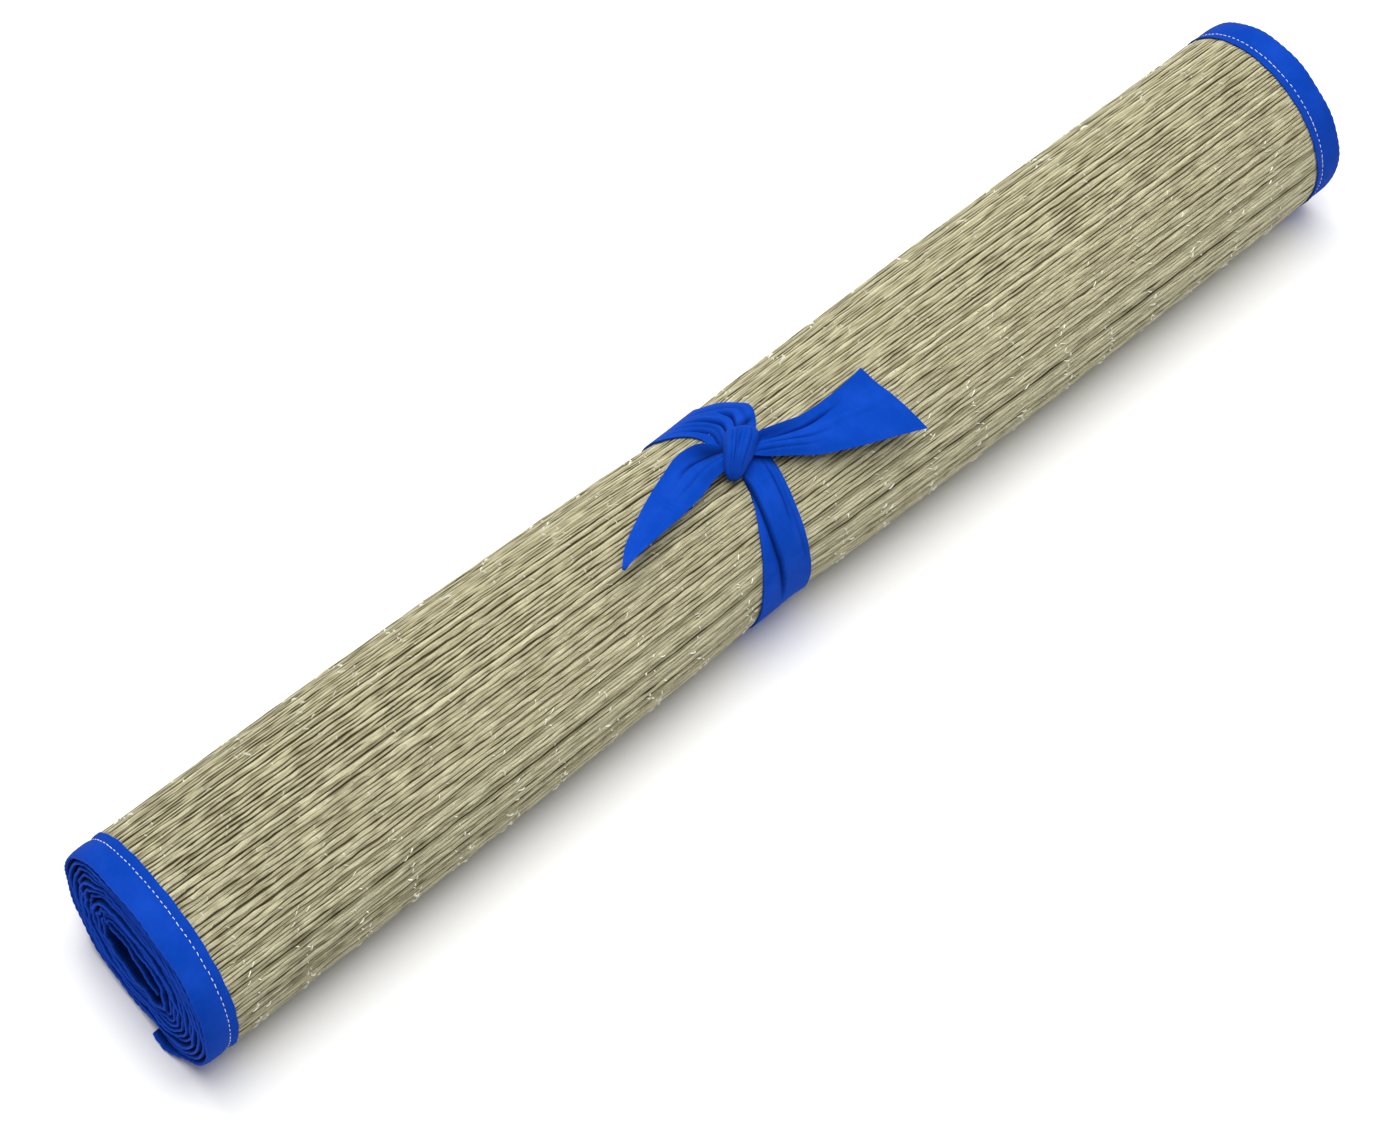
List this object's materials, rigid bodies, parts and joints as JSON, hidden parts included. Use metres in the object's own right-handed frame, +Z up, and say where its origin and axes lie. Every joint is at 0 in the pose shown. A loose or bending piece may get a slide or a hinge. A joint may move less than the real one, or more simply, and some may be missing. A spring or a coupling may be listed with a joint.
{
  "type": "rolled straw beach mat",
  "caption": "Straw beach mat rolled up tight, its two side edges bound in blue cloth tape and its waist tied with a knotted blue cloth strip.",
  "frame": {"origin": "on the surface that the roll lies on, under the middle of its bounding box", "axes": "+X along the roll from its squashed end to its round end, +Y across it, +Z up"},
  "size_m": [0.6064, 0.0939, 0.0842],
  "materials": {
    "straw": "flattened straws side by side, satin",
    "binding_cloth": "plain weave tape with one row of white running stitches, matte",
    "tie_cloth": "plain weave, matte"
  },
  "bodies": {
    "root": {"straw_mat": "straw", "near_binding": "binding_cloth", "far_binding": "binding_cloth", "tie": "tie_cloth"}
  },
  "joints": []
}
